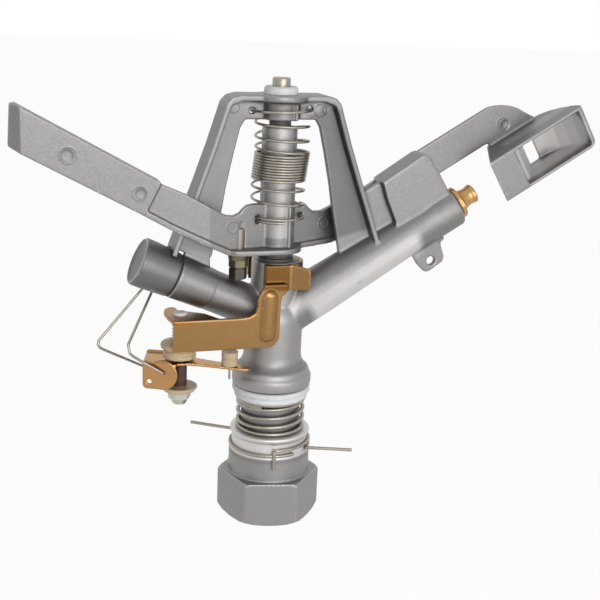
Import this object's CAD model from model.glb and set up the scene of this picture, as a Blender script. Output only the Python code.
"""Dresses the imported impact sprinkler: castings, sheet, springs, wires, threads and studio."""

import math

import bmesh
import bpy
import numpy as np
from bpy.props import FloatProperty, FloatVectorProperty, IntProperty, PointerProperty
from mathutils import Matrix, Vector


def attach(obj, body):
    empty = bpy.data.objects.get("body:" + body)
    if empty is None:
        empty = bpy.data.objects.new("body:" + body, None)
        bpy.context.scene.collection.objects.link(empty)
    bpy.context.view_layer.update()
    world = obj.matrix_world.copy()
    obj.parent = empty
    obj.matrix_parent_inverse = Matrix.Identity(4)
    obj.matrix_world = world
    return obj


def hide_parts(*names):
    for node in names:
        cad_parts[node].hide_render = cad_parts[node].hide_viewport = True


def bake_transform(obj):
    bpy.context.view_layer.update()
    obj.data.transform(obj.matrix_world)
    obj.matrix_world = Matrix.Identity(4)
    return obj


bl_info = {
    "name": "Impact sprinkler dressing",
    "version": (1, 0, 0),
    "blender": (4, 5, 0),
    "location": "View3D > Sidebar > Sprinkler",
    "description": "Builds the visible pieces of the impact sprinkler round its packed frame",
    "category": "Add Mesh",
}

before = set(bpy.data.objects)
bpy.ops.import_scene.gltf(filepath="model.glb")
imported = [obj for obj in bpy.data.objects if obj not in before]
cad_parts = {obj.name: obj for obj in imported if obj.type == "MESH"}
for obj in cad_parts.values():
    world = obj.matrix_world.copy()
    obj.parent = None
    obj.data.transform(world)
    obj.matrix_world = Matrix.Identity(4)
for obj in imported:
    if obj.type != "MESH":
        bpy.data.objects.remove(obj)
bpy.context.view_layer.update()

MM = 0.001
WELD = 2e-6

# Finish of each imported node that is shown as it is
SHOWN_NODES = {
    "turned": ("bearing_sleeve",),
    "brass": ("main_nozzle",),
    "steel": (
        "steel_washer", "pivot_pin", "clamp_screw", "clamp_nut", "trip_stud", "toggle_pin",
    ),
    "bolt": ("arm_bolt",),
    "white_plastic": ("sleeve_washer", "pin_washer", "straightener"),
    "dark_plastic": ("bush_upper", "bush_lower", "thrust_washer"),
    "cream_plastic": ("toggle_post",),
    "sleeve": ("trip_sleeve",),
    "zinc_nut": ("arm_nut",),
    "pale_nut": ("trip_nut",),
    "black_rubber": ("sleeve_seal", "nozzle_gasket", "cap_gasket"),
}

# All lengths below are in millimetres and all angles in degrees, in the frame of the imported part

# Heights of the coils at each turn, from the first turn to the last
ARM_SPRING_RISE = (
    (0, 169.7), (0.3, 169.9), (0.8, 171), (1.3, 171.6), (1.8, 177.9), (2.3, 181.1), (2.8, 185.6),
    (3.3, 187.6), (3.8, 191.1), (13.8, 205.3), (14.3, 208), (14.8, 211.5), (15.3, 213.5),
    (15.8, 219.2), (16.3, 220.5), (16.75, 227.9), (17.25, 226.7), (17.45, 226.7),
)
BASE_SPRING_RISE = ((0, 52.2), (0.75, 52.25), (3.75, 67.75), (4.5, 67.8))
TOGGLE_SPRING_RISE = ((0, 106.9), (0.5, 107), (6, 117), (6.5, 117.1))
# How much the arm spring widens, and how far it leans along +X, at a turn
ARM_SPRING_SWELL = ((2.8, 0.2), (16.3, 0.3), (16.75, 1.8), (17.45, 1.8))
ARM_SPRING_LEAN = ((3.8, 0), (13.8, 1.8), (14.8, 1.4), (16.3, 1.2), (16.75, 0))
# Heights between which the arm spring follows the arm more and more, from none to all
ARM_SPRING_R = 13.8
ARM_SPRING_WIRE = 1.42
ARM_SPRING_SIDES = 10
BASE_SPRING_R = 18.2
BASE_SPRING_WIRE = 2.2
TOGGLE_SPRING_R = 3.75
TOGGLE_SPRING_WIRE = 1.0

# Trip collars: centre line and gauge of the wires, height and arc of each, and its tail
COLLAR_R = 22.2
COLLAR_WIRE = 1.85
COLLAR_BEND = 1.2
COLLAR_TAIL = 26
TAIL_RISE = 0.26
LOW_COLLAR = {"height": 41.2, "first": 292, "last": -38, "tail_turn": -20.5}
HIGH_COLLAR = {"height": 44.3, "first": -98.7, "last": 142, "tail_turn": 148}
HIGH_COLLAR_FOOT = 33.5
HIGH_COLLAR_FOOT_R = 24.3

# Trip gear: its upright axis, the turn of the lever, and the bail with its hinge in the lever
TRIP_PIVOT = (-53, -6)
LEVER_TURN = -22
HINGE_ALONG = -6.6
HINGE_HEIGHT = 90.5
BAIL_WIRE = 1.5
BAIL_BEND = 1.6
# Distances of the two legs' inner and outer bends from the middle of the lever
BAIL_NEAR_LEG = (7.4, 10.9)
BAIL_FAR_LEG = (7.8, 11.35)
BAIL_PATH = (
    (-73.3, -10.9, 96.4), (-77.7, -8.4, 98.7), (-79.7, -7, 100.2), (-80.4, -5.6, 104.8),
    (-65.8, 10, 127.9), (-57.4, 16.2, 146.4), (-56.6, 16.6, 147.6), (-58.4, 17, 147.6),
    (-70.1, 14, 129.3), (-94.4, 4.6, 104.6), (-95, 4, 102.4), (-93.8, 4.1, 100.6),
    (-91.5, 5, 99), (-69, 13.9, 85.2),
)

# Outlines of turned rings: radius and height pairs
LIP_OUTLINE = (
    (7.5, 231.6), (13, 231.6), (14.2, 232.2), (14.7, 233.2), (14.7, 234), (14.1, 234.8),
    (13, 235.4), (7.5, 235.4),
)
LOW_WASHER_OUTLINE = (
    (16.8, 70.05), (20, 70.05), (20.4, 70.4), (20.5, 71), (20.5, 71.6), (20.2, 72.3),
    (19.6, 72.5), (19.6, 72.9), (16.8, 72.9),
)
TOP_WASHER_OUTLINE = (
    (16.8, 73.25), (20.9, 73.25), (21.5, 73.5), (21.7, 74), (21.6, 74.5), (21, 74.8),
    (20.7, 75), (21, 75.2), (21.5, 75.5), (21.6, 75.9), (21.3, 76.3), (20.7, 76.45),
    (16.8, 76.45),
)
BUSH_OUTLINE = (
    (3.05, 96.6), (8, 96.6), (8.6, 96.9), (8.8, 97.4), (8.8, 98.6), (8.3, 99.2), (7.9, 99.8),
    (8.3, 100.6), (9.4, 101.8), (10.1, 102.6), (10.3, 103.4), (10.1, 104.4), (9.4, 105),
    (6.4, 105.9), (5, 106.4), (3.05, 106.4),
)
BUTTON_OUTLINE = (
    (0.1, 119.6), (3.6, 119.6), (3.8, 120.1), (3.8, 121.1), (3.5, 121.6), (2.6, 121.9),
    (0.1, 122),
)

# Drive vane, in the frame tilted with the main barrel: its end, underside, corner and half width
MAIN_TILT = 31
VANE_END = 266.4
VANE_LOW = 86.2
VANE_CORNER = 5.5
VANE_HALF_WIDTH = 14
VANE_OVERCUT = 4
# Metal behind the arm bolt: centre, turn and sizes of a block
WEB_FILL = ((-22.15, -6.3, 168.3), 13.3, (6.6, 4.4, 4.8))
# Bracket: flat front, the free end that reaches further, and the long bead of its upright part
BRACKET_FRONT = -19
BRACKET_END = -48
BRACKET_END_FRONT = -16.5
BRACKET_REACH = 1.1
BRACKET_BEAD = ((-7.4, -18.9, 135.2), (-8.6, -18.9, 106.8), 4.1, 1.9)

# Cells, smoothing passes and kept share of the smaller skins
INLET_PASSES = 3
INLET_KEEP = 0.55
SHEET_CELL = 0.36
BRACKET_PASSES = 6
LEVER_PASSES = 4
CAP_CELL = 0.4
CAP_PASSES = 2
CASTING_KEEP = 0.5
SMALL_KEEP = 0.6

# Thread ridges: radius, pitch, turns, height of the ridge and height of the first turn
INLET_THREAD = (19.75, 2.31, 7.8, 1.1, 1.2)
STUD_THREAD = (2.9, 1.0, 1.8, 0.42, 118)

# Rings left by ejector pins: how far they rise, and the place of the centre and radius of each
EJECTOR_HEIGHT = 0.13
EJECTOR_MARKS = (
    (-26.7, -10, 167.4, 3.1), (20.9, -2, 227.3, 3.3), (-25.7, -2, 228.6, 2.8),
    (28.6, 6.8, 165, 3.3), (-110.5, -13.5, 205.8, 4.2), (-75.5, -13.5, 186.7, 3.7),
    (133.9, 10.4, 219.6, 3.2),
)
# Brighter metal round the axis: radius, lowest and highest place, and strength
BRIGHT_BANDS = (
    (17, 88, 150, 0.6), (10.4, 160, 224, 1.0), (26, 38.4, 54, 2.0), (45, -5, 37, 0.3),
    (26, 76, 88, 0.5),
)
# Stretches of metal along a line: two ends and a radius
BARREL_GLOW = ((18, -9, 116), (84, -9, 155.6), 11)
VANE_GLOW = ((136, 1, 196.7), (177, 1, 221.2), 14)
LEFT_LEG = ((-46.5, 0, 153), (-25, 0, 229), 14)
RIGHT_LEG = ((44.7, 0, 160), (25, 0, 229), 13)
# Worn rim of the rear cap: two places on its axis, and the radii between which it lies
CAP_END = ((-74.3, 0, 148.6), (-77.2, 0, 149.9))
CAP_RIM = (12.2, 18)
# Strength of the stretch on the main barrel, on the scale of the bands round the axis
BARREL_STRENGTH = 1.9
# How much lighter or darker than the plain alloy these places are
BAND_SHADES = (1.5, 2.3)
VANE_SHADE = 2.3
RIM_SHADE = 2.4
CAP_SHADE = 0.74
LEFT_LEG_SHADE = 0.74
RIGHT_LEG_SHADE = 0.52
# Where the sheet is the strap, the lever and the ear, and where the sleeve and the bare bolt start
STRAP_LOW = 133
STRAP_RIGHT = 4.5
LEVER_TOP = 97
EAR_RIGHT = -46
EAR_LOW = 117.5
SLEEVE_LOW = 80.6
BARE_BOLT_LOW = 150

# Colours that aren't settings: red, green and blue, and alpha unless shaded further
BRONZE_STAIN = (0.24, 0.13, 0.05, 1.0)
BRONZE_DIRT = (0.12, 0.05, 0.02, 1.0)
STRAP_BROWN = (0.13, 0.062, 0.018, 1.0)
LEVER_GOLD = ((0.52, 0.30, 0.13, 1.0), (0.42, 0.22, 0.09, 1.0))
EAR_BROWN = (0.32, 0.13, 0.035, 1.0)
SLEEVE_BROWN = (0.075, 0.028, 0.018, 1.0)
RUBBER_BLACK = ((0.018, 0.018, 0.018, 1.0), (0.04, 0.04, 0.038, 1.0))
PALE_PLATING = (0.50, 0.52, 0.42)
WHITE = (1, 1, 1, 1)
FLOOR_PAINT = (0.9, 0.9, 0.9, 1.0)
ROOM_OVERHEAD = (0.30, 0.31, 0.32, 1)
# Heights of the view upwards between which the room darkens, from level at 0 to straight up at 1
ROOM_FADE = (0.05, 0.85)

# Camera of the photograph: direction, focal length and size of the picture in pixels, and place
CAMERA_TURN = -17.5
CAMERA_PITCH = 15.84
CAMERA_ROLL = 2.42
CAMERA_DISTANCE = 586.7
CAMERA_ASIDE = 14.25
CAMERA_AIM_HEIGHT = 124.76
FOCAL_PIXELS = 1073
PICTURE_PIXELS = 600
SENSOR_WIDTH = 36
# Lamps in metres: name, place, target, width and share of the main lamp's power
LAMPS = (
    ("main_lamp", (-0.08, -1.1, 0.42), (0.0, 0.0, 0.13), 0.5, 1.0),
    ("low_lamp", (0.3, -0.8, 0.03), (0.05, 0.0, 0.15), 0.5, 0.6),
)
# Half the side of the floor in metres, and how much of its white the camera sees
FLOOR_HALF = 6.0
FLOOR_GLOW = 0.96


class SprinklerSettings(bpy.types.PropertyGroup):
    """Sizes and colours that a user would change"""

    cast_colour: FloatVectorProperty(
        name="Cast alloy", description="Colour of the cast alloy", subtype="COLOR",
        default=(0.278, 0.270, 0.265), min=0, max=1)
    bronze_colour: FloatVectorProperty(
        name="Bronze sheet", description="Colour of the pressed bronze sheet", subtype="COLOR",
        default=(0.30, 0.172, 0.072), min=0, max=1)
    brass_colour: FloatVectorProperty(
        name="Brass", description="Colour of the turned nozzle", subtype="COLOR",
        default=(0.52, 0.31, 0.13), min=0, max=1)
    steel_colour: FloatVectorProperty(
        name="Steel", description="Colour of the wires, pins and screws", subtype="COLOR",
        default=(0.36, 0.33, 0.29), min=0, max=1)
    washer_colour: FloatVectorProperty(
        name="Washers", description="Colour of the white plastic", subtype="COLOR",
        default=(0.94, 0.95, 0.98), min=0, max=1)
    dark_colour: FloatVectorProperty(
        name="Dark bushes", description="Colour of the dark plastic", subtype="COLOR",
        default=(0.10, 0.095, 0.09), min=0, max=1)
    cream_colour: FloatVectorProperty(
        name="Bushes", description="Colour of the cream plastic", subtype="COLOR",
        default=(0.74, 0.58, 0.36), min=0, max=1)
    zinc_colour: FloatVectorProperty(
        name="Plated nuts", description="Colour of the yellow zinc plating", subtype="COLOR",
        default=(0.16, 0.15, 0.09), min=0, max=1)
    grain: FloatProperty(
        name="Casting grain", description="Depth of the sandy grain of the casting",
        default=0.05 * MM, min=0, max=0.5 * MM, unit="LENGTH", precision=6)
    body_voxel: FloatProperty(
        name="Body skin cell", description="Cell size of the body skin",
        default=0.62 * MM, min=0.4 * MM, max=2 * MM, unit="LENGTH", precision=6)
    arm_voxel: FloatProperty(
        name="Arm skin cell", description="Cell size of the arm and inlet skins",
        default=0.5 * MM, min=0.4 * MM, max=2 * MM, unit="LENGTH", precision=6)
    edge_passes: IntProperty(
        name="Cast edge softness", description="Smoothing passes that round the cast edges",
        default=7, min=0, max=30)
    wire_sides: IntProperty(
        name="Wire sides", description="Faces round a wire", default=14, min=6, max=32)
    lamp_power: FloatProperty(
        name="Lamp power", description="Power of the main lamp", default=4.0, min=0, max=100)
    sky: FloatProperty(
        name="Room light", description="Strength of the even light of the room",
        default=0.42, min=0, max=2)


def settings():
    """The settings of the current scene."""
    return bpy.context.scene.sprinkler


# Node trees and finishes


class Mix:
    """An output of a node tree on which sums can be written."""

    def __init__(self, nodes, socket):
        self.nodes = nodes
        self.socket = socket

    def _sum(self, operation, first, second=0.0, clamp=False):
        node = self.nodes.add(
            "ShaderNodeMath", {"operation": operation, "use_clamp": clamp}, {0: first, 1: second})
        return self.nodes.out(node)

    def __add__(self, other):
        return self._sum("ADD", self, other)

    def __radd__(self, other):
        return self._sum("ADD", other, self)

    def __sub__(self, other):
        return self._sum("SUBTRACT", self, other)

    def __rsub__(self, other):
        return self._sum("SUBTRACT", other, self)

    def __mul__(self, other):
        return self._sum("MULTIPLY", self, other)

    def __rmul__(self, other):
        return self._sum("MULTIPLY", other, self)

    def clamped(self):
        """The same value held between 0 and 1."""
        return self._sum("ADD", self, 0.0, clamp=True)

    def magnitude(self):
        """The value without its sign."""
        return self._sum("ABSOLUTE", self)

    def power(self, exponent):
        """The value raised to a power."""
        return self._sum("POWER", self, exponent)


class Nodes:
    """A node tree under construction."""

    def __init__(self, tree):
        self.tree = tree

    def add(self, kind, choices=None, sockets=None):
        """Adds one node, sets its choices first and then the values or links of its sockets."""
        node = self.tree.nodes.new(kind)
        for key, value in (choices or {}).items():
            setattr(node, key, value)
        for key, value in (sockets or {}).items():
            if isinstance(value, Mix):
                self.tree.links.new(value.socket, node.inputs[key])
            else:
                node.inputs[key].default_value = value
        return node

    def out(self, node, key=0):
        """An output of a node, ready for sums."""
        return Mix(self, node.outputs[key])

    def seen(self):
        """1 for rays of the camera and for rays that show the background in shiny surfaces."""
        path = self.add("ShaderNodeLightPath")
        rays = ("Is Camera Ray", "Is Glossy Ray", "Is Transmission Ray")
        return sum(self.out(path, ray) for ray in rays).clamped()


class Finish(Nodes):
    """A procedural material under construction."""

    def __init__(self, name):
        self.material = bpy.data.materials.new(name)
        self.material.use_nodes = True
        super().__init__(self.material.node_tree)
        self.tree.nodes.clear()
        self.place = self.out(self.add("ShaderNodeTexCoord"), "Object")

    def noise(self, size, detail=3.0, rough=0.55):
        """Even noise whose blotches are about size metres across."""
        node = self.add(
            "ShaderNodeTexNoise", {},
            {"Vector": self.place, "Scale": 1 / size, "Detail": detail, "Roughness": rough})
        return self.out(node, "Fac")

    def blend(self, factor, first, second):
        """A colour between two colours."""
        node = self.add(
            "ShaderNodeMix", {"data_type": "RGBA"}, {0: factor, 6: first, 7: second})
        return self.out(node, 2)

    def edges(self, gain):
        """Worn convex edges of a dense skin, from 0 to 1."""
        sharp = self.out(self.add("ShaderNodeNewGeometry"), "Pointiness")
        return ((sharp - 0.5) * gain).clamped()

    def hollows(self, gain):
        """Dirty concave corners of a dense skin, from 0 to 1."""
        sharp = self.out(self.add("ShaderNodeNewGeometry"), "Pointiness")
        return ((0.5 - sharp) * gain).clamped()

    def bump(self, height, distance, strength=1.0, normal=None):
        """A normal raised by a height."""
        sockets = {"Height": height, "Distance": distance, "Strength": strength}
        if normal is not None:
            sockets["Normal"] = normal
        return self.out(self.add("ShaderNodeBump", {}, sockets))

    def places(self):
        """The place along each axis, in millimetres."""
        split = self.add("ShaderNodeSeparateXYZ", {}, {0: self.place})
        return [self.out(split, i) * 1000.0 for i in range(3)]

    def above(self, axis, start, soft):
        """1 above a place on an axis in millimetres, 0 below it."""
        return ((self.places()[axis] - start) * soft).clamped()

    def below(self, axis, end, soft):
        """1 below a place on an axis in millimetres, 0 above it."""
        return ((end - self.places()[axis]) * soft).clamped()

    def near_axis(self, radius, low, high):
        """1 within a radius of the upright axis between two heights in millimetres, 0 outside."""
        across, along, height = self.places()
        away = (across * across + along * along).power(0.5)
        inside = ((radius - away) * 0.7).clamped()
        return inside * ((height - low) * 0.8).clamped() * ((high - height) * 0.8).clamped()

    def near_line(self, start, end, radius, soft):
        """1 close to a straight line between two places in millimetres, 0 away from it."""
        start, end = Vector(start), Vector(end)
        aim = (end - start).normalized()
        to_place = self.add(
            "ShaderNodeVectorMath", {"operation": "SUBTRACT"}, {0: self.place, 1: start * MM})
        across = self.add("ShaderNodeVectorMath", {"operation": "CROSS_PRODUCT"}, {
            0: self.out(to_place), 1: aim})
        along = self.add("ShaderNodeVectorMath", {"operation": "DOT_PRODUCT"}, {
            0: self.out(to_place), 1: aim})
        away = self.out(self.add(
            "ShaderNodeVectorMath", {"operation": "LENGTH"}, {0: self.out(across)}), "Value")
        length = self.out(along, "Value") * 1000.0
        inside = ((radius - away * 1000.0) * soft).clamped()
        reach = (end - start).length
        return inside * (length * soft).clamped() * ((reach - length) * soft).clamped()

    def ring(self, mark):
        """A raised ring: the place of its centre and its radius, in millimetres."""
        x, y, z, radius = mark
        away = self.out(self.add(
            "ShaderNodeVectorMath", {"operation": "DISTANCE"},
            {0: self.place, 1: (x * MM, y * MM, z * MM)}), "Value")
        off = (away * 1000.0 - radius).magnitude()
        return (1.0 - off * 1.5).clamped()

    def rounded(self, radius):
        """A normal that turns smoothly round small edges."""
        return self.out(self.add("ShaderNodeBevel", {"samples": 6}, {"Radius": radius}))

    def close(self, **sockets):
        """Ends the finish in one principled surface."""
        named = {key.replace("_", " "): value for key, value in sockets.items()}
        surface = self.add("ShaderNodeBsdfPrincipled", {}, named)
        self.add("ShaderNodeOutputMaterial", {}, {"Surface": self.out(surface)})
        return self.material


def shade(colour, gain):
    """A colour made lighter or darker, as red, green, blue and alpha."""
    return tuple(min(1.0, c * gain) for c in colour) + (1.0,)


def cast_finish(name, colour, grain, legs=False):
    """Sand-grained cast alloy with paler worn edges, and duller bridge legs where asked."""
    f = Finish(name)
    sand = f.noise(0.45 * MM, 3.0, 0.7)
    patch = f.noise(9 * MM, 3.0)
    speck = f.noise(0.6 * MM, 2.0, 0.6)
    worn = (f.edges(14.0) - 0.10).clamped()
    dirt = f.hollows(6.0)
    inside = f.near_line(*VANE_GLOW, 0.35)
    bright = BARREL_STRENGTH * f.near_line(*BARREL_GLOW, 0.2)
    for radius, low, high, strength in BRIGHT_BANDS:
        bright = bright + strength * f.near_axis(radius, low, high)
    base = f.blend(patch, shade(colour, 0.88), shade(colour, 1.12))
    base = f.blend(((speck - 0.42) * 4.0).clamped(), shade(colour, 0.80), base)
    base = f.blend(bright.clamped(), base, shade(colour, BAND_SHADES[0]))
    base = f.blend((bright - 1.0).clamped(), base, shade(colour, BAND_SHADES[1]))
    if legs:
        base = f.blend(f.near_line(*LEFT_LEG, 0.4), base, shade(colour, LEFT_LEG_SHADE))
        base = f.blend(f.near_line(*RIGHT_LEG, 0.4), base, shade(colour, RIGHT_LEG_SHADE))
    rim = f.near_line(*CAP_END, CAP_RIM[1], 2.0) - f.near_line(*CAP_END, CAP_RIM[0], 2.0)
    base = f.blend(rim.clamped() * 0.8, base, shade(colour, RIM_SHADE))
    base = f.blend(inside, base, shade(colour, VANE_SHADE))
    base = f.blend(worn * 0.8, base, shade(colour, 1.7))
    base = f.blend(dirt * 0.6, base, shade(colour, 0.45))
    rough = 0.38 + 0.12 * patch + 0.08 * sand - 0.10 * worn
    marks = sum(f.ring(mark) for mark in EJECTOR_MARKS)
    return f.close(
        Base_Color=base, Metallic=0.95 - 0.9 * inside, Roughness=rough,
        Normal=f.bump(marks, EJECTOR_HEIGHT * MM, 1.0, f.bump(sand, grain, 1.0)))


def machined_cast_finish(colour):
    """Turned surface of the same alloy."""
    f = Finish("turned_alloy")
    sand = f.noise(0.4 * MM, 2.0)
    patch = f.noise(7 * MM, 3.0)
    base = f.blend(patch, shade(colour, 0.85), shade(colour, 1.1))
    rough = 0.40 + 0.14 * patch
    return f.close(
        Base_Color=base, Metallic=0.95, Roughness=rough,
        Normal=f.bump(sand, 0.02 * MM, 1.0, f.rounded(0.35 * MM)))


def bronze_finish(colour):
    """Rolled bronze sheet, golden with browner stains."""
    f = Finish("bronze_sheet")
    stain = f.noise(6 * MM, 4.0)
    fine = f.noise(0.7 * MM, 3.0)
    worn = f.edges(8.0)
    dirt = f.hollows(8.0)
    base = f.blend(stain, shade(colour, 1.12), BRONZE_STAIN)
    base = f.blend(worn * 0.7, base, shade(colour, 2.0))
    base = f.blend(dirt * 0.6, base, BRONZE_DIRT)
    strap = f.above(2, STRAP_LOW, 0.4) * f.below(0, STRAP_RIGHT, 1.0)
    base = f.blend(strap * 0.9, base, STRAP_BROWN)
    golden = f.blend(stain, *LEVER_GOLD)
    base = f.blend(f.below(2, LEVER_TOP, 0.5), base, golden)
    ear = f.below(0, EAR_RIGHT, 0.5) * f.above(2, EAR_LOW, 1.0)
    base = f.blend(ear * 0.7, base, EAR_BROWN)
    rough = 0.19 + 0.14 * stain + 0.05 * fine
    return f.close(
        Base_Color=base, Metallic=1.0, Roughness=rough, Normal=f.bump(fine, 0.006 * MM, 1.0))


def brass_finish(colour):
    """Turned brass."""
    f = Finish("turned_brass")
    cloud = f.noise(3 * MM, 3.0)
    fine = f.noise(0.35 * MM, 2.0)
    base = f.blend(cloud, shade(colour, 1.12), shade(colour, 0.82))
    rough = 0.28 + 0.12 * cloud
    return f.close(
        Base_Color=base, Metallic=1.0, Roughness=rough,
        Normal=f.bump(fine, 0.01 * MM, 1.0, f.rounded(0.25 * MM)))


def steel_finish(colour):
    """Drawn steel for wires, pins and screws."""
    f = Finish("drawn_steel")
    cloud = f.noise(2.5 * MM, 3.0)
    fine = f.noise(0.3 * MM, 2.0)
    base = f.blend(cloud, shade(colour, 1.2), shade(colour, 0.74))
    rough = 0.27 + 0.14 * cloud
    return f.close(
        Base_Color=base, Metallic=1.0, Roughness=rough,
        Normal=f.bump(fine, 0.008 * MM, 1.0, f.rounded(0.2 * MM)))


def plastic_finish(name, colour, shadow, gloss):
    """Moulded plastic with a faint mottle."""
    f = Finish(name)
    cloud = f.noise(4 * MM, 3.0)
    fine = f.noise(0.5 * MM, 2.0)
    base = f.blend(cloud, shade(colour, 1.06), shade(colour, shadow))
    rough = gloss + 0.12 * cloud
    return f.close(
        Base_Color=base, Roughness=rough, Normal=f.bump(fine, 0.01 * MM, 1.0, f.rounded(0.3 * MM)))


def sleeve_finish(colour):
    """Cream flange under a dark brown sleeve."""
    f = Finish("moulded_sleeve")
    cloud = f.noise(3 * MM, 3.0)
    base = f.blend(f.above(2, SLEEVE_LOW, 2.0), shade(colour, 1.0), SLEEVE_BROWN)
    return f.close(Base_Color=base, Roughness=0.3 + 0.12 * cloud, Normal=f.rounded(0.3 * MM))


def zinc_finish(name, colour):
    """Zinc plating that shifts in hue."""
    f = Finish(name)
    cloud = f.noise(2.2 * MM, 3.0)
    purple = (colour[0] * 0.9, colour[1] * 0.8, colour[2])
    base = f.blend(cloud, shade(colour, 1.3), shade(purple, 0.8))
    rough = 0.26 + 0.14 * cloud
    return f.close(
        Base_Color=base, Metallic=0.9, Roughness=rough, Normal=f.rounded(0.3 * MM))


def bolt_finish(colour):
    """Blackened bolt whose shank is bare above the arm plate."""
    f = Finish("blackened_bolt")
    bare = f.above(2, BARE_BOLT_LOW, 1.0)
    cloud = f.noise(1.2 * MM, 3.0)
    base = f.blend(bare, shade(colour, 0.22), shade(colour, 0.85))
    rough = 0.28 + 0.14 * cloud + 0.16 * bare
    return f.close(Base_Color=base, Metallic=1.0, Roughness=rough, Normal=f.rounded(0.4 * MM))


def rubber_finish():
    """Black rubber of seals and gaskets."""
    f = Finish("sealing_rubber")
    cloud = f.noise(1.5 * MM, 3.0)
    base = f.blend(cloud, *RUBBER_BLACK)
    return f.close(Base_Color=base, Roughness=0.55 + 0.2 * cloud)


def finish(slot):
    """The material of a slot, made once."""
    s = settings()
    makers = {
        "cast": ("cast_alloy", lambda: cast_finish("cast_alloy", s.cast_colour, s.grain)),
        "body_cast": ("cast_body", lambda: cast_finish(
            "cast_body", s.cast_colour, s.grain, legs=True)),
        "cap_cast": ("cast_cap", lambda: cast_finish(
            "cast_cap", shade(s.cast_colour, CAP_SHADE)[:3], s.grain)),
        "turned": ("turned_alloy", lambda: machined_cast_finish(s.cast_colour)),
        "bronze": ("bronze_sheet", lambda: bronze_finish(s.bronze_colour)),
        "brass": ("turned_brass", lambda: brass_finish(s.brass_colour)),
        "steel": ("drawn_steel", lambda: steel_finish(s.steel_colour)),
        "white_plastic": ("moulded_white", lambda: plastic_finish(
            "moulded_white", s.washer_colour, 0.94, 0.34)),
        "cream_plastic": ("moulded_cream", lambda: plastic_finish(
            "moulded_cream", s.cream_colour, 0.8, 0.32)),
        "dark_plastic": ("moulded_dark", lambda: plastic_finish(
            "moulded_dark", s.dark_colour, 0.7, 0.36)),
        "sleeve": ("moulded_sleeve", lambda: sleeve_finish(s.cream_colour)),
        "zinc_nut": ("zinc_plating", lambda: zinc_finish("zinc_plating", s.zinc_colour)),
        "pale_nut": ("pale_plating", lambda: zinc_finish("pale_plating", PALE_PLATING)),
        "bolt": ("blackened_bolt", lambda: bolt_finish(s.steel_colour)),
        "black_rubber": ("sealing_rubber", rubber_finish),
    }
    name, maker = makers[slot]
    return bpy.data.materials.get(name) or maker()


# Mesh helpers


def link(mesh, name):
    """A linked object that holds a mesh."""
    made = bpy.data.objects.new(name, mesh)
    bpy.context.scene.collection.objects.link(made)
    return made


def welded_copy(node, name):
    """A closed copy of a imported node."""
    mesh = bpy.data.meshes.new(name)
    shape = bmesh.new()
    shape.from_mesh(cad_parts[node].data)
    bmesh.ops.remove_doubles(shape, verts=shape.verts, dist=WELD)
    shape.to_mesh(mesh)
    shape.free()
    return link(mesh, name)


def bake(obj):
    """Turns an object's modifiers into a plain mesh and takes them off."""
    graph = bpy.context.evaluated_depsgraph_get()
    mesh = bpy.data.meshes.new_from_object(obj.evaluated_get(graph))
    obj.modifiers.clear()
    old = obj.data
    obj.data = mesh
    if old.users == 0:
        bpy.data.meshes.remove(old)
    mesh.name = obj.name
    return obj


def soften(obj, voxel, passes, keep):
    """Rounds edges and fills corners as a casting or pressing has them."""
    skin = obj.modifiers.new("cells", "REMESH")
    skin.mode = "VOXEL"
    skin.voxel_size = voxel
    skin.adaptivity = 0
    rub = obj.modifiers.new("rub", "SMOOTH")
    rub.factor = 0.5
    rub.iterations = passes
    bake(obj)
    thin = obj.modifiers.new("thin", "DECIMATE")
    thin.ratio = keep
    return bake(obj)


def dress(obj, slot, body, *nodes, record_slot=None):
    """Gives a piece its finish, its body and the nodes it stands for."""
    obj.data.materials.clear()
    obj.data.materials.append(finish(slot))
    obj.data.shade_smooth()
    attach(obj, body)
    if nodes:
        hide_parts(*nodes)
    return obj


def round_corner(obj):
    """Rounds the outer lower corner of the drive vane, as the casting has it."""
    middle = (VANE_END - VANE_CORNER, VANE_LOW + VANE_CORNER)
    arc = [math.radians(270 + 90 * i / 8) for i in range(9)]
    outline = [(middle[0] + VANE_CORNER * math.cos(a), middle[1] + VANE_CORNER * math.sin(a))
               for a in arc]
    outline += [
        (VANE_END + VANE_OVERCUT, middle[1]), (VANE_END + VANE_OVERCUT, VANE_LOW - VANE_OVERCUT),
        (middle[0], VANE_LOW - VANE_OVERCUT)]
    shape = bmesh.new()
    rows = [[shape.verts.new((x * MM, y * MM, z * MM)) for x, z in outline]
            for y in (-VANE_HALF_WIDTH, VANE_HALF_WIDTH)]
    shape.faces.new(rows[0])
    shape.faces.new(rows[1][::-1])
    for i in range(len(outline)):
        k = (i + 1) % len(outline)
        shape.faces.new((rows[0][i], rows[1][i], rows[1][k], rows[0][k]))
    bmesh.ops.recalc_face_normals(shape, faces=shape.faces)
    bmesh.ops.transform(
        shape, matrix=Matrix.Rotation(math.radians(-MAIN_TILT), 4, "Y"), verts=shape.verts)
    mesh = bpy.data.meshes.new("corner_cutter")
    shape.to_mesh(mesh)
    shape.free()
    cutter = link(mesh, "corner_cutter")
    cut = obj.modifiers.new("corner", "BOOLEAN")
    cut.operation = "DIFFERENCE"
    cut.solver = "EXACT"
    cut.object = cutter
    bake(obj)
    bpy.data.objects.remove(cutter)
    bpy.data.meshes.remove(mesh)
    return obj


def add_block(obj, centre, turn, sizes):
    """Adds a block turned round the vertical to a skin, degrees and millimetres."""
    shape = bmesh.new()
    shape.from_mesh(obj.data)
    corners = bmesh.ops.create_cube(shape, size=1)["verts"]
    place = (at(*centre, Matrix.Rotation(math.radians(turn), 4, "Z"))
             @ Matrix.Diagonal((*(size * MM for size in sizes), 1)))
    bmesh.ops.transform(shape, matrix=place, verts=corners)
    shape.to_mesh(obj.data)
    shape.free()


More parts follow.
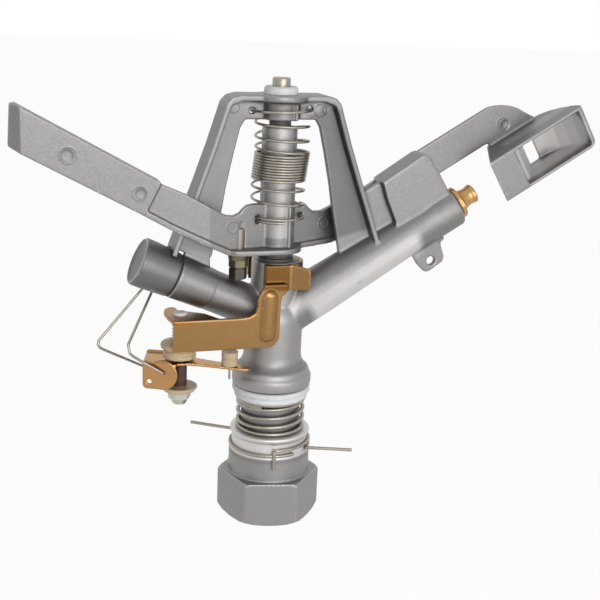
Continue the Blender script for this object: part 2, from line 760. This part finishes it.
def add_turned(obj, outline, steps=64, centre=(0, 0)):
    """Adds a ring turned round the axis to a skin: radius and height pairs in millimetres."""
    shape = bmesh.new()
    shape.from_mesh(obj.data)
    rows = []
    for radius, height in outline:
        rows.append([shape.verts.new((
            (centre[0] + radius * math.cos(math.tau * i / steps)) * MM,
            (centre[1] + radius * math.sin(math.tau * i / steps)) * MM, height * MM))
            for i in range(steps)])
    for first, second in zip(rows, rows[1:] + rows[:1]):
        for i in range(steps):
            k = (i + 1) % steps
            shape.faces.new((first[i], first[k], second[k], second[i]))
    shape.to_mesh(obj.data)
    shape.free()


def add_bead(obj, top, bottom, half_width, height):
    """Adds a long pressed bead to a sheet: a stretched ball, all sizes in millimetres."""
    shape = bmesh.new()
    shape.from_mesh(obj.data)
    ball = bmesh.ops.create_uvsphere(shape, u_segments=32, v_segments=24, radius=1)["verts"]
    top, bottom = Vector(top), Vector(bottom)
    straight = (top - bottom).length - 2 * half_width
    for corner in ball:
        x, y, z = corner.co
        z = z * half_width + (straight / 2 if z > 0 else -straight / 2)
        share = z / (top - bottom).length
        middle = (top + bottom) / 2 + (top - bottom) * share
        corner.co = Vector((middle.x + x * half_width, middle.y + y * height, middle.z)) * MM
    shape.to_mesh(obj.data)
    shape.free()


# Wires and threads


class Growth(Nodes):
    """A geometry node tree under construction, with named inputs."""

    def __init__(self, name, sizes):
        super().__init__(bpy.data.node_groups.new(name, "GeometryNodeTree"))
        face = self.tree.interface
        face.new_socket("Geometry", in_out="INPUT", socket_type="NodeSocketGeometry")
        for label, kind, value in sizes:
            socket = face.new_socket(label, in_out="INPUT", socket_type=kind)
            if value is not None:
                socket.default_value = value
        face.new_socket("Geometry", in_out="OUTPUT", socket_type="NodeSocketGeometry")
        self.inlet = self.add("NodeGroupInput")

    def given(self, label):
        """A named input."""
        return self.out(self.inlet, label)

    def close(self, geometry):
        """Realizes the geometry, gives it its material and ends the tree."""
        real = self.add("GeometryNodeRealizeInstances", {}, {"Geometry": self.out(geometry)})
        smooth = self.add("GeometryNodeSetShadeSmooth", {}, {"Geometry": self.out(real)})
        painted = self.add("GeometryNodeSetMaterial", {}, {
            "Geometry": self.out(smooth), "Material": self.given("Finish")})
        self.add("NodeGroupOutput", {}, {0: self.out(painted)})
        return self.tree


def wire_tree():
    """Sweeps a round wire along a path, with rounded bends."""
    if "wire sweep" in bpy.data.node_groups:
        return bpy.data.node_groups["wire sweep"]
    t = Growth("wire sweep", (
        ("Wire radius", "NodeSocketFloat", 0.75 * MM), ("Bend radius", "NodeSocketFloat", 2 * MM),
        ("Sides", "NodeSocketInt", 12), ("Finish", "NodeSocketMaterial", None)))
    path = t.add("GeometryNodeMeshToCurve", {}, {"Mesh": t.given("Geometry")})
    bent = t.add("GeometryNodeFilletCurve", {"mode": "POLY"}, {
        "Curve": t.out(path), "Radius": t.given("Bend radius"), "Count": 7, "Limit Radius": True})
    profile = t.add("GeometryNodeCurvePrimitiveCircle", {}, {
        "Resolution": t.given("Sides"), "Radius": t.given("Wire radius")})
    return t.close(t.add("GeometryNodeCurveToMesh", {}, {
        "Curve": t.out(bent), "Profile Curve": t.out(profile), "Fill Caps": True}))


def thread_tree():
    """Winds a ridge round the Z axis."""
    if "thread ridge" in bpy.data.node_groups:
        return bpy.data.node_groups["thread ridge"]
    t = Growth("thread ridge", (
        ("Radius", "NodeSocketFloat", 3 * MM), ("Pitch", "NodeSocketFloat", 1 * MM),
        ("Turns", "NodeSocketFloat", 8.0), ("Ridge", "NodeSocketFloat", 0.4 * MM),
        ("Finish", "NodeSocketMaterial", None)))
    coil = t.add("GeometryNodeCurveSpiral", {}, {
        "Resolution": 36, "Rotations": t.given("Turns"), "Start Radius": t.given("Radius"),
        "End Radius": t.given("Radius"), "Height": t.given("Pitch") * t.given("Turns")})
    profile = t.add("GeometryNodeCurvePrimitiveCircle", {}, {
        "Resolution": 4, "Radius": t.given("Ridge")})
    return t.close(t.add("GeometryNodeCurveToMesh", {}, {
        "Curve": t.out(coil), "Profile Curve": t.out(profile), "Fill Caps": True}))


def grow(obj, tree, **values):
    """Runs a geometry tree on an object with named inputs and keeps the plain mesh."""
    growth = obj.modifiers.new("growth", "NODES")
    growth.node_group = tree
    for item in tree.interface.items_tree:
        key = item.name.replace(" ", "_").lower()
        if item.item_type == "SOCKET" and item.in_out == "INPUT" and key in values:
            growth[item.identifier] = values[key]
    return bake(obj)


def outward(obj):
    """Turns a swept skin's faces outwards."""
    shape = bmesh.new()
    shape.from_mesh(obj.data)
    bmesh.ops.remove_doubles(shape, verts=shape.verts, dist=WELD)
    bmesh.ops.recalc_face_normals(shape, faces=shape.faces)
    shape.to_mesh(obj.data)
    shape.free()
    return obj


def polyline(points, name):
    """An open chain of edges through points given in millimetres."""
    mesh = bpy.data.meshes.new(name)
    places = [tuple(c * MM for c in p) for p in points]
    mesh.from_pydata(places, [(i, i + 1) for i in range(len(places) - 1)], [])
    return link(mesh, name)


def wire(name, points, diameter, body, node, bend=0.0):
    """A round steel wire along a path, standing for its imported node."""
    obj = grow(
        polyline(points, name), wire_tree(), wire_radius=diameter / 2 * MM,
        bend_radius=bend * MM, sides=settings().wire_sides, finish=finish("steel"))
    return dress(outward(obj), "steel", body, node)


def rise_at(levels, turn):
    """The value of a list of pairs at a turn, in millimetres."""
    return float(np.interp(turn, [k[0] for k in levels], [k[1] for k in levels]))


def coil_path(radius, start, hand, levels, centre=(0, 0), steps=36, swell=None, lean=None):
    """Points of a coil whose height, widening and lean follow their lists of pairs."""
    turns = levels[-1][0]
    count = math.ceil(turns * steps)
    points = []
    for i in range(count + 1):
        turn = turns * i / count
        angle = math.radians(start + hand * 360 * turn)
        wide = radius + (rise_at(swell, turn) if swell else 0)
        aside = rise_at(lean, turn) if lean else 0
        points.append((
            centre[0] + wide * math.cos(angle) + aside, centre[1] + wide * math.sin(angle),
            rise_at(levels, turn)))
    return points


def arc_path(radius, height, first, last, step=6):
    """Points of a level arc round the axis, angles in degrees."""
    count = math.ceil(abs(last - first) / step)
    angles = [math.radians(first + (last - first) * i / count) for i in range(count + 1)]
    return [(radius * math.cos(a), radius * math.sin(a), height) for a in angles]


def collar_path(height, first, last, tail_turn):
    """Points of a trip collar: its arc and the straight tail that leaves it."""
    ring = arc_path(COLLAR_R, height, first, last)
    away = math.radians(tail_turn)
    x, y, z = ring[-1]
    return ring + [(
        x + COLLAR_TAIL * math.cos(away), y + COLLAR_TAIL * math.sin(away), z + TAIL_RISE)]


def bail_path():
    """Points of the bail from the near side of the lever round to the far side."""
    turn = math.radians(LEVER_TURN)
    along = Vector((math.cos(turn), math.sin(turn), 0))
    across = Vector((-math.sin(turn), math.cos(turn), 0))
    hinge = Vector((*TRIP_PIVOT, HINGE_HEIGHT)) + HINGE_ALONG * along
    near = [hinge - side * across for side in BAIL_NEAR_LEG]
    far = [hinge + side * across for side in reversed(BAIL_FAR_LEG)]
    return near + list(BAIL_PATH) + far


def thread(name, sizes, centre, slot, body):
    """A screw thread ridge round an upright axis."""
    radius, pitch, turns, ridge, start = sizes
    seed = link(bpy.data.meshes.new(name), name)
    obj = grow(
        seed, thread_tree(), radius=radius * MM, pitch=pitch * MM, turns=float(turns),
        ridge=ridge * MM, finish=finish(slot))
    obj.data.transform(at(*centre, start))
    return dress(outward(obj), slot, body)


def at(x, y, z, turn=None):
    """A place in millimetres, turned first where a turn is given."""
    move = Matrix.Translation(Vector((x, y, z)) * MM)
    return move @ turn if turn is not None else move


# Operators


class SPRINKLER_OT_finish_nodes(bpy.types.Operator):
    """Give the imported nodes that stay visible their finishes"""

    bl_idname = "sprinkler.finish_nodes"
    bl_label = "Finish turned pieces"

    def execute(self, context):
        for slot, nodes in SHOWN_NODES.items():
            for node in nodes:
                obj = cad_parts[node]
                obj.data.materials.clear()
                obj.data.materials.append(finish(slot))
        return {"FINISHED"}


class SPRINKLER_OT_body(bpy.types.Operator):
    """Cast the skin of the rotating body"""

    bl_idname = "sprinkler.body"
    bl_label = "Rotating body"

    def execute(self, context):
        s = settings()
        obj = welded_copy("body", "body_casting")
        add_turned(obj, LIP_OUTLINE)
        soften(obj, s.body_voxel, s.edge_passes, CASTING_KEEP)
        dress(obj, "body_cast", "rotor", "body", record_slot="cast")
        return {"FINISHED"}


class SPRINKLER_OT_arm(bpy.types.Operator):
    """Cast the skin of the impact arm"""

    bl_idname = "sprinkler.arm"
    bl_label = "Impact arm"

    def execute(self, context):
        s = settings()
        obj = round_corner(welded_copy("arm", "arm_casting"))
        add_block(obj, *WEB_FILL)
        soften(obj, s.arm_voxel, s.edge_passes, CASTING_KEEP)
        dress(obj, "cast", "striker", "arm")
        return {"FINISHED"}


class SPRINKLER_OT_base(bpy.types.Operator):
    """Cast the skin of the inlet piece"""

    bl_idname = "sprinkler.base"
    bl_label = "Inlet piece"

    def execute(self, context):
        obj = soften(
            welded_copy("inlet_base", "inlet_casting"), settings().arm_voxel, INLET_PASSES,
            INLET_KEEP)
        dress(obj, "cast", "base", "inlet_base")
        return {"FINISHED"}


class SPRINKLER_OT_sheet(bpy.types.Operator):
    """Press the bronze bracket and the trip lever"""

    bl_idname = "sprinkler.sheet"
    bl_label = "Bronze sheet"

    def execute(self, context):
        strap = welded_copy("bracket", "bracket_sheet")
        front = BRACKET_FRONT * MM
        for corner in strap.data.vertices:
            if corner.co.x < 0 and corner.co.y < front:
                corner.co.y = front
            if corner.co.x < BRACKET_END * MM and corner.co.y < BRACKET_END_FRONT * MM:
                corner.co.x -= BRACKET_REACH * MM
        add_bead(strap, *BRACKET_BEAD)
        soften(strap, SHEET_CELL * MM, BRACKET_PASSES, SMALL_KEEP)
        dress(strap, "bronze", "rotor", "bracket")
        lever = welded_copy("trip_lever", "trip_lever_sheet")
        soften(lever, SHEET_CELL * MM, LEVER_PASSES, SMALL_KEEP)
        dress(lever, "bronze", "lever", "trip_lever")
        return {"FINISHED"}


class SPRINKLER_OT_turned(bpy.types.Operator):
    """Turn the white washers, the trip bush, the button of the ear and the rear cap"""

    bl_idname = "sprinkler.turned"
    bl_label = "Turned pieces"

    def execute(self, context):
        rings = (
            ("turned_washer_low", "white_plastic", "base", ("washer_lower",),
             LOW_WASHER_OUTLINE, 96, (0, 0)),
            ("turned_washer_top", "white_plastic", "base", ("washer_upper",),
             TOP_WASHER_OUTLINE, 96, (0, 0)),
            ("turned_bush", "cream_plastic", "rotor", ("trip_bush",), BUSH_OUTLINE, 64,
             TRIP_PIVOT),
            ("ear_button", "white_plastic", "rotor", (), BUTTON_OUTLINE, 48, TRIP_PIVOT),
        )
        for name, slot, body, nodes, outline, steps, centre in rings:
            ring = link(bpy.data.meshes.new(name), name)
            add_turned(ring, outline, steps, centre)
            dress(outward(ring), slot, body, *nodes)
        cap = welded_copy("rear_cap", "rear_cap_casting")
        soften(cap, CAP_CELL * MM, CAP_PASSES, SMALL_KEEP)
        dress(cap, "cap_cast", "rotor", "rear_cap", record_slot="cast")
        return {"FINISHED"}


class SPRINKLER_OT_springs(bpy.types.Operator):
    """Wind the arm spring, the base spring and the toggle spring"""

    bl_idname = "sprinkler.springs"
    bl_label = "Springs"

    def execute(self, context):
        coils = (
            ("wound_base_spring", "base_spring", "base", BASE_SPRING_WIRE,
             coil_path(BASE_SPRING_R, 60, 1, BASE_SPRING_RISE)),
            ("wound_toggle_spring", "toggle_spring", "rotor", TOGGLE_SPRING_WIRE,
             coil_path(TOGGLE_SPRING_R, 0, 1, TOGGLE_SPRING_RISE, TRIP_PIVOT, 24)),
        )
        for name, node, body, gauge, path in coils:
            wire(name, path, gauge, body, node)
        path = coil_path(
            ARM_SPRING_R, -90, -1, ARM_SPRING_RISE, steps=30, swell=ARM_SPRING_SWELL,
            lean=ARM_SPRING_LEAN)
        spring = grow(
            polyline(path, "wound_arm_spring"), wire_tree(),
            wire_radius=ARM_SPRING_WIRE / 2 * MM, bend_radius=0.0,
            sides=ARM_SPRING_SIDES, finish=finish("steel"))
        outward(spring)
        spring.data.materials.clear()
        spring.data.materials.append(finish("steel"))
        spring.data.shade_smooth()
        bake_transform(spring)
        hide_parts("arm_spring")
        return {"FINISHED"}


class SPRINKLER_OT_wires(bpy.types.Operator):
    """Bend the two trip collars and the bail"""

    bl_idname = "sprinkler.wires"
    bl_label = "Collars and bail"

    def execute(self, context):
        wire(
            "collar_low_wire", collar_path(**LOW_COLLAR), COLLAR_WIRE, "lower_collar",
            "collar_low", COLLAR_BEND)
        start = math.radians(HIGH_COLLAR["first"])
        foot = [
            (HIGH_COLLAR_FOOT_R * math.cos(start), HIGH_COLLAR_FOOT_R * math.sin(start), z)
            for z in (HIGH_COLLAR_FOOT, HIGH_COLLAR["height"])]
        wire(
            "collar_high_wire", foot + collar_path(**HIGH_COLLAR), COLLAR_WIRE, "upper_collar",
            "collar_high", COLLAR_BEND)
        wire("bail_wire", bail_path(), BAIL_WIRE, "wire_bail", "bail", BAIL_BEND)
        return {"FINISHED"}


class SPRINKLER_OT_threads(bpy.types.Operator):
    """Cut the inlet thread and the end of the stud thread"""

    bl_idname = "sprinkler.threads"
    bl_label = "Threads"

    def execute(self, context):
        thread("inlet_thread", INLET_THREAD, (0, 0), "cast", "base")
        thread("stud_thread", STUD_THREAD, TRIP_PIVOT, "steel", "rotor")
        return {"FINISHED"}


class SPRINKLER_OT_stage(bpy.types.Operator):
    """Set the floor, the room, the lamps and the camera"""

    bl_idname = "sprinkler.stage"
    bl_label = "Studio"

    def execute(self, context):
        floor_stage()
        room_light()
        lamps()
        camera()
        bpy.context.scene.view_settings.view_transform = "Standard"
        return {"FINISHED"}


def floor_stage():
    """A pale floor that the camera sees as white, with the object's soft shadow."""
    mesh = bpy.data.meshes.new("floor")
    corners = ((-1, -1), (1, -1), (1, 1), (-1, 1))
    mesh.from_pydata([(x * FLOOR_HALF, y * FLOOR_HALF, 0) for x, y in corners], [], [(0, 1, 2, 3)])
    floor = link(mesh, "floor")
    f = Finish("floor_paint")
    matt = f.add("ShaderNodeBsdfDiffuse", {}, {"Color": FLOOR_PAINT})
    glow = f.add("ShaderNodeEmission", {}, {"Color": WHITE, "Strength": 1.0})
    both = f.add("ShaderNodeMixShader", {}, {
        0: f.seen() * FLOOR_GLOW, 1: f.out(matt), 2: f.out(glow)})
    f.add("ShaderNodeOutputMaterial", {}, {"Surface": f.out(both)})
    mesh.materials.append(f.material)


def room_light():
    """An even room, darker overhead, that the camera and shiny surfaces see as white."""
    world = bpy.data.worlds.new("room")
    bpy.context.scene.world = world
    world.use_nodes = True
    world.node_tree.nodes.clear()
    room = Nodes(world.node_tree)
    aim = room.out(room.add("ShaderNodeTexCoord"), "Generated")
    split = room.add("ShaderNodeSeparateXYZ", {}, {0: aim})
    ramp = room.add("ShaderNodeValToRGB", {}, {0: room.out(split, "Z")})
    low, high = ramp.color_ramp.elements
    low.position, high.position = ROOM_FADE
    low.color = WHITE
    high.color = ROOM_OVERHEAD
    even = room.add("ShaderNodeBackground", {}, {
        "Color": room.out(ramp), "Strength": settings().sky})
    plain = room.add("ShaderNodeBackground", {}, {"Color": WHITE, "Strength": 1.0})
    both = room.add("ShaderNodeMixShader", {}, {
        0: room.seen(), 1: room.out(even), 2: room.out(plain)})
    room.add("ShaderNodeOutputWorld", {}, {"Surface": room.out(both)})


def lamp(name, place, target, width, power):
    """A soft square lamp aimed at a target, in metres."""
    data = bpy.data.lights.new(name, "AREA")
    data.shape = "SQUARE"
    data.size = width
    data.energy = power
    obj = bpy.data.objects.new(name, data)
    bpy.context.scene.collection.objects.link(obj)
    obj.location = place
    aim = Vector(target) - Vector(place)
    obj.rotation_euler = aim.to_track_quat("-Z", "Y").to_euler()


def lamps():
    """The main lamp in front on the left, and a weaker low one on the right."""
    for name, place, target, width, share in LAMPS:
        lamp(name, place, target, width, settings().lamp_power * share)


def camera():
    """The camera of the photograph: where it stands, how it leans and its field of view."""
    turn, pitch, roll = (math.radians(d) for d in (CAMERA_TURN, CAMERA_PITCH, CAMERA_ROLL))
    back = Vector((
        math.sin(turn) * math.cos(pitch), -math.cos(turn) * math.cos(pitch), math.sin(pitch)))
    right = Vector((math.cos(turn), math.sin(turn), 0))
    up = back.cross(right)
    side = right * math.cos(roll) + up * math.sin(roll)
    head = up * math.cos(roll) - right * math.sin(roll)
    aim = right * CAMERA_ASIDE + Vector((0, 0, CAMERA_AIM_HEIGHT))
    data = bpy.data.cameras.new("photo_camera")
    data.sensor_width = SENSOR_WIDTH
    data.lens = SENSOR_WIDTH * FOCAL_PIXELS / PICTURE_PIXELS
    data.clip_start = 0.01
    data.clip_end = 50
    obj = bpy.data.objects.new("photo_camera", data)
    bpy.context.scene.collection.objects.link(obj)
    pose = Matrix((side, head, back)).transposed().to_4x4()
    pose.translation = (aim + back * CAMERA_DISTANCE) * MM
    obj.matrix_world = pose
    bpy.context.scene.camera = obj


class SPRINKLER_PT_panel(bpy.types.Panel):
    """The sprinkler's settings and operators"""

    bl_label = "Sprinkler"
    bl_idname = "SPRINKLER_PT_panel"
    bl_space_type = "VIEW_3D"
    bl_region_type = "UI"
    bl_category = "Sprinkler"

    def draw(self, context):
        column = self.layout.column()
        for name in SprinklerSettings.__annotations__:
            column.prop(context.scene.sprinkler, name)
        for operator in OPERATORS:
            column.operator(operator.bl_idname)


OPERATORS = (
    SPRINKLER_OT_stage,
    SPRINKLER_OT_finish_nodes,
    SPRINKLER_OT_body,
    SPRINKLER_OT_arm,
    SPRINKLER_OT_base,
    SPRINKLER_OT_sheet,
    SPRINKLER_OT_turned,
    SPRINKLER_OT_springs,
    SPRINKLER_OT_wires,
    SPRINKLER_OT_threads,
)
CLASSES = (SprinklerSettings, *OPERATORS, SPRINKLER_PT_panel)


def register():
    """Registers the classes and the settings."""
    for cls in CLASSES:
        bpy.utils.register_class(cls)
    bpy.types.Scene.sprinkler = PointerProperty(type=SprinklerSettings)


def unregister():
    """Removes the settings and the classes."""
    del bpy.types.Scene.sprinkler
    for cls in reversed(CLASSES):
        bpy.utils.unregister_class(cls)


def main():
    """Builds every piece in order."""
    register()
    for operator in OPERATORS:
        group, name = operator.bl_idname.split(".")
        getattr(getattr(bpy.ops, group), name)()


if __name__ == "__main__":
    main()
